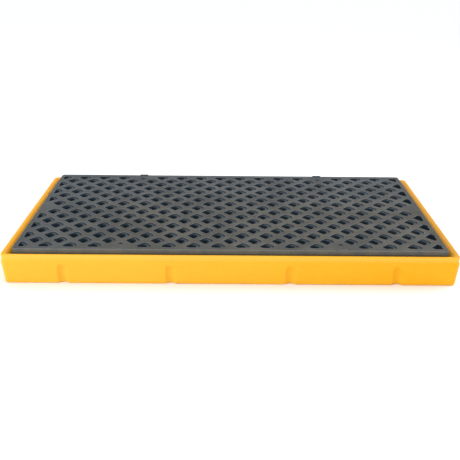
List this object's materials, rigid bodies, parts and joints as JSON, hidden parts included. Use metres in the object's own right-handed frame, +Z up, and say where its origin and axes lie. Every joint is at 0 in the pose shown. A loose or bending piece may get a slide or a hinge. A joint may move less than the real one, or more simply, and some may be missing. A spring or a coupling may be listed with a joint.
{
  "type": "spill containment pallet",
  "caption": "Low rectangular polyethylene spill tray with a lift-off diamond-lattice deck carried on loose posts; catches leaks from drums stood on it.",
  "frame": {"origin": "centre of the tray's flat underside, on the floor", "axes": "+X along the long side, +Y across towards the back, +Z up"},
  "size_m": [1.311, 0.644, 0.1095],
  "materials": {
    "tray_yellow": "moulded polyethylene, satin, slightly waxy",
    "deck_black": "moulded recycled polyethylene, satin, dusty on top",
    "post_grey": "extruded polyethylene pipe, satin"
  },
  "bodies": {
    "tray": {"sump_tray": "tray_yellow", "support_post_front_1": "post_grey", "support_post_front_2": "post_grey", "support_post_front_3": "post_grey", "support_post_front_4": "post_grey", "support_post_front_5": "post_grey", "support_post_rear_1": "post_grey", "support_post_rear_2": "post_grey", "support_post_rear_3": "post_grey", "support_post_rear_4": "post_grey", "support_post_rear_5": "post_grey"},
    "deck": {"deck_grate": "deck_black"}
  },
  "joints": [
    {"name": "deck_lift", "type": "slide", "parent": "tray", "child": "deck", "axis": [0, 0, 1], "range_m": [0, 0.25]}
  ]
}
